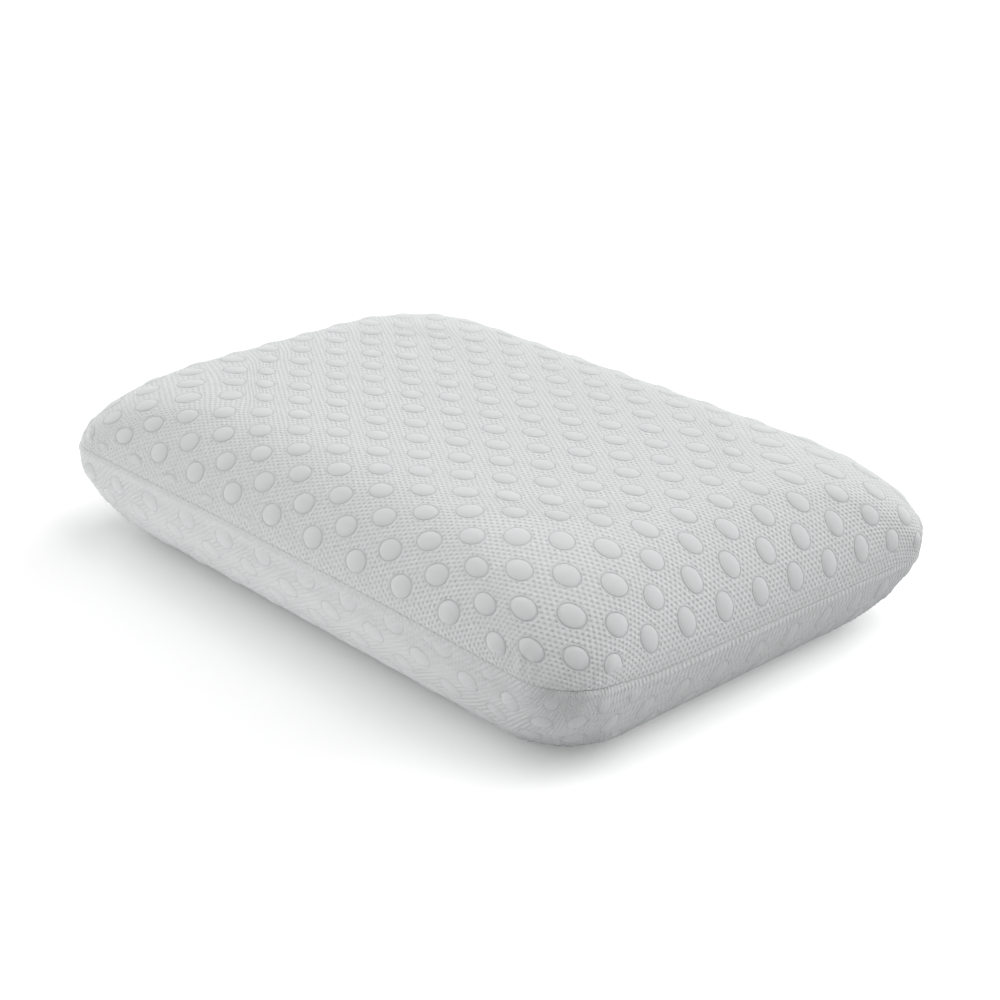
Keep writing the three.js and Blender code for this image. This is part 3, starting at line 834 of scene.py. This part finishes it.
top, bottom = Side(True), Side(False)
reliefTree = buildReliefTree()
relief = {
    "coverTop": {"Bubble Height": 0.00135, "Ridge Height": 0.0002, "Pull": 0.0, "Fold Height": 0.0005,
                 "Fold Pitch": 0.017},
    "coverBottom": {"Bubble Height": 0.001, "Ridge Height": 0.0009, "Pull": 0.009, "Fold Height": 0.0012,
                    "Fold Pitch": 0.010},
    "both": {"Groove Depth": 0.0004, "Halo Height": 0.0002, "Edge Roll": 0.00025, "Edge Width": 0.0014,
             "Wander": 0.0015},
}
for pieceName, side, step, node in (("coverTop", top, cover["topStep"], "cover_top_panel"),
                                    ("coverBottom", bottom, cover["bottomStep"], "cover_bottom_panel")):
    piece = coverPanel(pieceName, side, step)
    runTree(piece, reliefTree, {**relief["both"], **relief[pieceName], "Material": materials[pieceName]})
    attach(piece, "pillow")
    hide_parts(node)
    print(pieceName, len(piece.data.polygons), "faces")


class Layer:
    # The pillow's shape at a depth inside the cover's outer face, as rings from an edge to the middle.
    longSteps, cornerSteps, shortSteps = 40, 16, 26
    crownSteps = np.linspace(0.93, 0.05, 13)

    def __init__(self, side, depth):
        self.side = side
        self.depth = depth
        rise, run = np.gradient(side.heights, side.s), np.gradient(side.insets, side.s)
        sign = -1.0 if side.isTop else 1.0
        length = np.hypot(rise, run)
        self.outward, self.upward = sign * rise / length, sign * run / length

    def profile(self, s):
        return [np.interp(s, self.side.s, table) for table in
                (self.side.insets, self.side.heights, self.outward, self.upward, self.side.share)]

    def ring(self, s):
        inset, height, outward, upward, share = self.profile(s)
        shrink = inset + self.depth * outward
        halfX, halfY = pillow["halfLength"] - shrink, pillow["halfWidth"] - shrink
        radius = float(self.side.ringRadius(np.array([inset]))[0] - self.depth * outward)
        turn = np.linspace(0, pi / 2, self.cornerSteps + 1)
        x = np.concatenate([np.linspace(0, halfX - radius, self.longSteps + 1)[:-1],
                            halfX - radius + radius * np.sin(turn), np.full(self.shortSteps, halfX)])
        y = np.concatenate([np.full(self.longSteps, halfY), halfY - radius + radius * np.cos(turn),
                            np.linspace(halfY - radius, 0, self.shortSteps + 1)[1:]])
        x = np.concatenate([x, x[-2::-1], -x[1:], -x[-2:0:-1]])
        y = np.concatenate([y, -y[-2::-1], -y[1:], y[-2:0:-1]])
        z = height - self.depth * upward + share * crownAt(x, y)
        return np.stack([x, y, z], -1)[::-1]

    def rings(self, startS, count, before=()):
        found = [*before, *(self.ring(s) for s in np.linspace(startS, 0, count))]
        rim = found[-1]
        for scale in self.crownSteps:
            ring = rim * (scale, scale, 1.0)
            if self.side.isTop:
                ring[:, 2] = self.side.flat + crownAt(ring[:, 0], ring[:, 1]) - self.depth
            found.append(ring)
        return found


zipHollow = {"along": (0.2115, 0.230), "up": (0.0125, 0.024), "depth": 2.1 * mm}


def pressedBehindZip(points):
    # The layers under the cover give way to the zip's tapes and slider.
    x, y, z = points.T
    share = (1 - smoothStep(np.abs(x), *zipHollow["along"])) * (y > 0)
    share = share * (1 - smoothStep(np.abs(z - pillow["seamHeight"]), *zipHollow["up"]))
    return points - np.outer(share, (0, zipHollow["depth"], 0))


def loftFaces(rings, start, flip):
    # Walls between neighbouring rings and a fan over the last one. Its centre comes after the rings.
    around = len(rings[0])
    index = start + np.arange(len(rings) * around).reshape(len(rings), around)
    after = np.roll(index, -1, 1)
    faces = np.stack([index[:-1], after[:-1], after[1:], index[1:]], -1).reshape(-1, 4)
    centre = start + len(rings) * around
    fan = np.stack([index[-1], after[-1], np.full(around, centre)], -1)
    return [tuple(f[::-1] if flip else f) for f in (*faces, *fan)]


def loftPoints(rings):
    centre = rings[-1].mean(0)
    return np.concatenate([*rings, [centre]])


def mergeCopies(piece):
    work = bmesh.new()
    work.from_mesh(piece.data)
    bmesh.ops.remove_doubles(work, verts=work.verts, dist=1e-6)
    work.to_mesh(piece.data)
    work.free()


core = {"depth": 3.8 * mm, "rings": 30}


def addFoamCore():
    sets = [Layer(side, core["depth"]).rings(side.lengthAt(pillow["seamHeight"]), core["rings"])
            for side in (top, bottom)]
    points = [loftPoints(rings) for rings in sets]
    faces = loftFaces(sets[0], 0, False) + loftFaces(sets[1], len(points[0]), True)
    piece = newPiece("foamCore", pressedBehindZip(np.concatenate(points)), faces)
    mergeCopies(piece)
    finishPiece(piece, "pillow", "foam", "foam_core")


liner = {"depth": 2.7 * mm, "thickness": 0.8 * mm, "seamHeight": 96 * mm, "edgeGap": 0.9 * mm,
         "rings": 26, "upperRings": 12, "wallHeight": 64 * mm}


def linerPanel(name, side, node):
    sign = 1 if side.isTop else -1
    edge = top.lengthAt(liner["seamHeight"] + sign * liner["edgeGap"])
    walls = []
    for depth in (liner["depth"], liner["depth"] + liner["thickness"]):
        if side.isTop:
            walls.append(Layer(top, depth).rings(edge, liner["rings"]))
        else:  # from the liner's seam over the top's rounding and down the upright wall
            down = np.linspace(edge, top.lengthAt(pillow["seamHeight"]), liner["upperRings"])
            upper = [Layer(top, depth).ring(s) for s in down]
            wallStart = bottom.lengthAt(liner["wallHeight"])
            walls.append(Layer(bottom, depth).rings(wallStart, liner["rings"], upper))
    outer, inner = walls
    for ring in (outer[0], inner[0]):
        ring[:, 2] = liner["seamHeight"] + sign * liner["edgeGap"]
    points = [loftPoints(rings) for rings in (outer, inner)]
    start = len(points[0])
    faces = loftFaces(outer, 0, not side.isTop) + loftFaces(inner, start, side.isTop)
    around = len(outer[0])
    for i in range(around):
        after = (i + 1) % around
        wall = (i, start + i, start + after, after)
        faces.append(wall if side.isTop else wall[::-1])
    piece = newPiece(name, pressedBehindZip(np.concatenate(points)), faces)
    finishPiece(piece, "pillow", "linerKnit", node)
    if not side.isTop:
        edge = bottom.lengthAt(pillow["seamHeight"]) + top.lengthAt(pillow["seamHeight"]) - edge
    width, length = 2 * (side.rimY + edge), 2 * (side.rimX + edge)
    area = width * length - (4 - pi) * side.rho ** 2


def finishPiece(piece, body, material, node):
    if not piece.data.materials:
        piece.data.materials.append(materials[material])
    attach(piece, body)
    if node:
        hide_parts(node)
    print(piece.name, len(piece.data.polygons), "faces")


# Stitches stand along a line, each a small smooth bead of thread.
def buildStitchTree():
    tree, given, output = newGroup("stitchLine", "GeometryNodeTree", {
        "Geometry": ("Geometry", None),
        "Pitch": ("Float", 0.003),
        "Stitch Length": ("Float", 0.0022),
        "Thread Width": ("Float", 0.0008),
        "Material": ("Material", None),
    }, {"Geometry": ("Geometry", None)})
    line = newNode(tree, "GeometryNodeMeshToCurve", {"Mesh": given["Geometry"]})
    places = newNode(tree, "GeometryNodeResampleCurve", {"Curve": line.outputs[0], "Length": given["Pitch"]},
                     mode="LENGTH")
    bead = newNode(tree, "GeometryNodeMeshUVSphere", {"Segments": 6, "Rings": 5, "Radius": 0.5})
    tangent = newNode(tree, "GeometryNodeInputTangent")
    turn = newNode(tree, "FunctionNodeAlignRotationToVector", {"Vector": tangent.outputs[0]}, axis="X")
    size = newNode(tree, "ShaderNodeCombineXYZ",
                   {0: given["Stitch Length"], 1: given["Thread Width"], 2: given["Thread Width"]})
    beads = newNode(tree, "GeometryNodeInstanceOnPoints", {
        "Points": places.outputs[0], "Instance": bead.outputs[0],
        "Rotation": turn.outputs[0], "Scale": size.outputs[0]})
    real = newNode(tree, "GeometryNodeRealizeInstances", {0: beads.outputs[0]})
    smoothed = newNode(tree, "GeometryNodeSetShadeSmooth", {"Geometry": real.outputs[0]})
    wearMaterial(tree, smoothed, given, output)
    return tree


stitchTree = buildStitchTree()


def stitchPiece(name, lines, pitch, length, width, node):
    mesh = bpy.data.meshes.new(name)
    points, edges = [], []
    for line, closed in lines:
        start, count = len(points), len(line)
        points += [tuple(p) for p in line]
        edges += [(start + i, start + i + 1) for i in range(count - 1)]
        if closed:
            edges.append((start + count - 1, start))
    mesh.from_pydata(points, edges, [])
    piece = bpy.data.objects.new(name, mesh)
    scene.collection.objects.link(piece)
    runTree(piece, stitchTree, {"Pitch": pitch, "Stitch Length": length, "Thread Width": width,
                                "Material": materials["thread"]})
    finishPiece(piece, "pillow", "thread", node)


threads = {
    "cover": {"pitch": 3.4 * mm, "length": 2.6 * mm, "width": 0.9 * mm, "depth": 1.6 * mm,
              "pastZip": 0.3 * mm, "zipBack": 0.19},
    "liner": {"pitch": 3.0 * mm, "length": 2.3 * mm, "width": 0.7 * mm, "depth": 3.1 * mm},
    "hem": {"pitch": 2.9 * mm, "length": 2.1 * mm, "width": 0.5 * mm, "fromZip": 9.6 * mm,
            "pastZip": 2 * mm},
}


def seamRing(depth, height):
    ring = Layer(bottom, depth).ring(bottom.lengthAt(height))
    ring[:, 2] = height
    return ring


def addThreads():
    sizes = threads["cover"]
    ring = seamRing(sizes["depth"], pillow["seamHeight"])
    ring[:, 2] += seamLiftAt(ring[:, 0], ring[:, 1])
    start = int(np.argmax((ring[:, 1] > 0) & (np.abs(ring[:, 0]) < 0.01)))
    ring = np.roll(ring, -start, 0)
    zipEnd = pillow["slotHalfLength"] + sizes["pastZip"]
    byZip = (ring[:, 1] > sizes["zipBack"]) & (np.abs(ring[:, 0]) < zipEnd)
    stitchPiece("coverSeamThread", [(ring[~byZip], False)], sizes["pitch"], sizes["length"], sizes["width"],
                "cover_seam_thread")
    sizes = threads["liner"]
    ring = Layer(top, sizes["depth"]).ring(top.lengthAt(liner["seamHeight"]))
    ring[:, 2] = liner["seamHeight"]
    stitchPiece("linerSeamThread", [(ring, True)], sizes["pitch"], sizes["length"], sizes["width"],
                "liner_seam_thread")
    sizes = threads["hem"]
    half = pillow["slotHalfLength"] + sizes["pastZip"]
    x = np.linspace(-half, half, 60)
    lines = []
    for side, sign in ((top, 1), (bottom, -1)):
        height = pillow["seamHeight"] + sign * sizes["fromZip"]
        inset = np.interp(side.lengthAt(height), side.s, side.insets)
        y = pillow["halfWidth"] - inset
        lines.append((np.stack([x, x * 0 + y, x * 0 + height], -1), False))
    stitchPiece("zipHemStitches", lines, sizes["pitch"], sizes["length"], sizes["width"], None)


def stripSheet(name, side, x, s, depth, thickness):
    # A thin closed strip that follows the back of the pillow, its outer face at a depth in the cover.
    gx, gs = np.meshgrid(x, s)
    walls = []
    for deep in (depth(gx, gs), depth(gx, gs) + thickness):
        inset, height, outward, upward, _ = Layer(side, 0).profile(gs)
        y = pillow["halfWidth"] - inset - deep * outward
        walls.append(np.stack([gx, y, height - deep * upward], -1).reshape(-1, 3))
    rows, columns = gx.shape
    count = rows * columns
    down = side.isTop == (s[-1] > s[0])
    faces = [tuple(f) for f in gridFaces(rows, columns, flip=not down)]
    faces += [tuple(f) for f in gridFaces(rows, columns, count, flip=down)]
    rim = rimOrder(rows, columns)
    for i, first in enumerate(rim):
        after = rim[(i + 1) % len(rim)]
        wall = (after, first, first + count, after + count)
        faces.append(wall if down else wall[::-1])
    return newPiece(name, np.concatenate(walls), faces)


zipSizes = {
    "tapeHalfLength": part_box("zip_tape_upper")[1].x, "tapeDepth": 2.7 * mm, "tapeThickness": 0.55 * mm,
    "tapeRibDepth": 0.05 * mm, "tapeRibPitch": 0.0022, "coilWire": 0.25 * mm, "coilPitch": 1.9 * mm,
}


def addZipTapes():
    x = np.linspace(-zipSizes["tapeHalfLength"], zipSizes["tapeHalfLength"], 281)

    def ribbed(gx, gs):
        ribs = np.cos(gs * 2 * pi / zipSizes["tapeRibPitch"])
        return zipSizes["tapeDepth"] + zipSizes["tapeRibDepth"] * ribs

    for name, side, node in (("zipTapeUpper", top, "zip_tape_upper"),
                             ("zipTapeLower", bottom, "zip_tape_lower")):
        low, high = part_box(node)
        s = np.linspace(side.lengthAt(low.z), side.lengthAt(high.z), 23)
        piece = stripSheet(name, side, x, s, ribbed, zipSizes["tapeThickness"])
        finishPiece(piece, "pillow", "zipTape", node)


# A zip coil is one stiff filament wound into a flattened spiral.
def buildCoilTree():
    tree, given, output = newGroup("zipCoil", "GeometryNodeTree", {
        "Geometry": ("Geometry", None),
        "Length": ("Float", 0.4),
        "Pitch": ("Float", 0.0019),
        "Wire Radius": ("Float", 0.00025),
        "Half Depth": ("Float", 0.00065),
        "Half Height": ("Float", 0.00075),
        "Centre": ("Vector", (0.0, 0.0, 0.0)),
        "Material": ("Material", None),
    }, {"Geometry": ("Geometry", None)})
    spiral = newNode(tree, "GeometryNodeCurveSpiral", {
        "Resolution": 10, "Rotations": given["Length"] / given["Pitch"], "Start Radius": 1.0,
        "End Radius": 1.0, "Height": given["Length"]})
    size = newNode(tree, "ShaderNodeCombineXYZ", {0: given["Half Height"], 1: given["Half Depth"], 2: 1.0})
    shaped = newNode(tree, "GeometryNodeTransform", {"Geometry": spiral.outputs[0], "Scale": size.outputs[0]})
    laid = newNode(tree, "GeometryNodeTransform", {
        "Geometry": shaped.outputs[0], "Translation": given["Centre"], "Rotation": (0.0, pi / 2, 0.0)})
    section = newNode(tree, "GeometryNodeCurvePrimitiveCircle",
                      {"Resolution": 5, "Radius": given["Wire Radius"]})
    wire = newNode(tree, "GeometryNodeCurveToMesh", {
        "Curve": laid.outputs[0], "Profile Curve": section.outputs[0], "Fill Caps": True})
    real = newNode(tree, "GeometryNodeRealizeInstances", {0: wire.outputs[0]})
    smoothed = newNode(tree, "GeometryNodeSetShadeSmooth", {"Geometry": real.outputs[0]})
    wearMaterial(tree, smoothed, given, output)
    return tree


def addZipCoils():
    tree = buildCoilTree()
    for name, node in (("zipCoilUpper", "zip_coil_upper"), ("zipCoilLower", "zip_coil_lower")):
        low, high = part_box(node)
        wire = zipSizes["coilWire"]
        piece = newPiece(name, [(0, 0, 0)], [])
        runTree(piece, tree, {
            "Length": high.x - low.x - 2 * wire, "Pitch": zipSizes["coilPitch"], "Wire Radius": wire,
            "Half Depth": (high.y - low.y) / 2 - wire, "Half Height": (high.z - low.z) / 2 - wire,
            "Centre": (low.x + wire, (low.y + high.y) / 2, (low.z + high.z) / 2),
            "Material": materials["nylonCoil"]})
        finishPiece(piece, "pillow", "nylonCoil", node)


def softenedCopy(name, node, body, bevel):
    # The CAD piece with its edges rounded, as a cast and lacquered part has them.
    work = bmesh.new()
    work.from_mesh(bpy.data.objects[node].data)
    bmesh.ops.remove_doubles(work, verts=work.verts, dist=1e-6)
    bmesh.ops.dissolve_limit(work, angle_limit=radians(1), verts=work.verts, edges=work.edges)
    sharp = [e for e in work.edges if len(e.link_faces) == 2 and e.calc_face_angle() > radians(25)]
    bmesh.ops.bevel(work, geom=sharp, offset=bevel, segments=3, profile=0.5, affect="EDGES",
                    clamp_overlap=True)
    bmesh.ops.triangulate(work, faces=[f for f in work.faces if len(f.verts) > 4])
    mesh = bpy.data.meshes.new(name)
    work.to_mesh(mesh)
    work.free()
    mesh.polygons.foreach_set("use_smooth", [True] * len(mesh.polygons))
    piece = bpy.data.objects.new(name, mesh)
    scene.collection.objects.link(piece)
    mesh.set_sharp_from_angle(angle=radians(35))
    finishPiece(piece, body, "zipMetal", node)


metalPieces = {
    # each one's CAD node, its body and the width of its rounded edges
    "zipSlider": ("zip_slider", "slider", 0.22 * mm),
    "zipPull": ("zip_pull", "pull", 0.3 * mm),
    "zipTopStopUpper": ("zip_top_stop_upper", "pillow", 0.4 * mm),
    "zipTopStopLower": ("zip_top_stop_lower", "pillow", 0.4 * mm),
    "zipBottomStop": ("zip_bottom_stop", "pillow", 0.5 * mm),
}


def addZipMetal():
    for name, (node, body, bevel) in metalPieces.items():
        softenedCopy(name, node, body, bevel)


label = {"proud": 0.75 * mm, "thickness": 0.4 * mm,
         "ripple": 0.05 * mm, "rippleAlong": 310, "rippleDown": 170}


def addCareLabel():
    low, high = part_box("care_label")
    x = np.linspace(low.x, high.x, 33)
    s = np.linspace(bottom.lengthAt(low.z), bottom.lengthAt(high.z), 53)

    def lying(gx, gs):
        ripples = np.sin(gx * label["rippleAlong"]) * np.sin(gs * label["rippleDown"])
        return -label["proud"] + label["ripple"] * (1 + ripples)

    piece = stripSheet("careLabel", bottom, x, s, lying, label["thickness"])
    finishPiece(piece, "pillow", "labelSatin", "care_label")


addFoamCore()
linerPanel("linerUpperPanel", top, "liner_upper_panel")
linerPanel("linerLowerPanel", bottom, "liner_lower_panel")
addThreads()
addZipTapes()
addZipCoils()
addZipMetal()
addCareLabel()
print("inner layers and zip ready")

studio = {
    # each soft light's compass angle from +X, its height in degrees and its strength
    "lights": {"back": (90, 12, 1.7), "backHigh": (90, 45, 0.55), "backRight": (45, 45, 0.85),
               "left": (180, 12, 1.5), "frontLeft": (225, 12, 0.97), "front": (270, 45, 0.12),
               "rightHigh": (0, 45, 0.35), "above": (0, 90, 0.95)},
    "lightSize": 60, "fill": 0.1,
    # the floor is white to the eye, with painted light that lightens the pillow's shadow to the right as
    # seen; to the pillow it throws back less light to the right, and along the front it glows as a hidden
    # lamp
    "floorHalf": 9, "floor": (0.97, 0.97, 0.97, 1), "shadedFloor": (0.72, 0.72, 0.73, 1),
    "shadeStart": 0.12, "shadeEnd": 0.32, "frontStart": 0.12, "frontEnd": 0.26,
    "floorGlow": 0.05, "rightGlow": 0.2, "frontGlow": 0.36, "roughness": 0.9, "specular": 0.1,
}


def addSun(name, compass, height, strength):
    data = bpy.data.lights.new(name, "SUN")
    data.energy = strength
    data.angle = radians(studio["lightSize"])
    lamp = bpy.data.objects.new(name, data)
    turn, rise = radians(compass), radians(height)
    towards = Vector((cos(turn) * cos(rise), sin(turn) * cos(rise), sin(rise)))
    lamp.rotation_mode = "QUATERNION"
    lamp.rotation_quaternion = towards.to_track_quat("Z", "Y")
    scene.collection.objects.link(lamp)


def addStudio():
    half = studio["floorHalf"]
    corners = [(-half, -half, 0), (half, -half, 0), (half, half, 0), (-half, half, 0)]
    floor = newPiece("floor", corners, [(0, 1, 2, 3)], False)
    material, tree, shader = newMaterial("floorPaper")
    x, y, _ = splitFabric(tree, placeOn(tree))
    toRight = x.smooth(studio["shadeStart"], studio["shadeEnd"])
    alongFront = (y * -1.0).smooth(studio["frontStart"], studio["frontEnd"]) * (1.0 - toRight)
    seen = Number(tree, newNode(tree, "ShaderNodeLightPath").outputs["Is Camera Ray"])
    unseen = 1.0 - seen
    plug(tree, shader.inputs["Base Color"],
         mixColour(tree, toRight * unseen, studio["floor"], studio["shadedFloor"]))
    # painted light: the floor glows to the camera on the right, lightening the shadow there, and glows unseen
    # along the front to light the pillow like a lamp
    glow = toRight * seen * studio["rightGlow"] + alongFront * unseen * studio["frontGlow"]
    plug(tree, shader.inputs["Emission Strength"], glow + studio["floorGlow"])
    shader.inputs["Roughness"].default_value = studio["roughness"]
    shader.inputs["Specular IOR Level"].default_value = studio["specular"]
    shader.inputs["Emission Color"].default_value = (1, 1, 1, 1)
    floor.data.materials.append(material)
    for name, (compass, height, strength) in studio["lights"].items():
        addSun(name + "Light", compass, height, strength)
    world = bpy.data.worlds.new("studio")
    world.use_nodes = True
    background = world.node_tree.nodes["Background"]
    background.inputs[0].default_value = (1, 1, 1, 1)
    straight = newNode(world.node_tree, "ShaderNodeLightPath")  # white behind everything, and little light
    seen = Number(world.node_tree, straight.outputs["Is Camera Ray"])
    plug(world.node_tree, background.inputs[1], seen.most(studio["fill"]))
    scene.world = world
    scene.view_settings.view_transform = "Standard"
    scene.view_settings.look = "None"


addStudio()
print("studio ready")
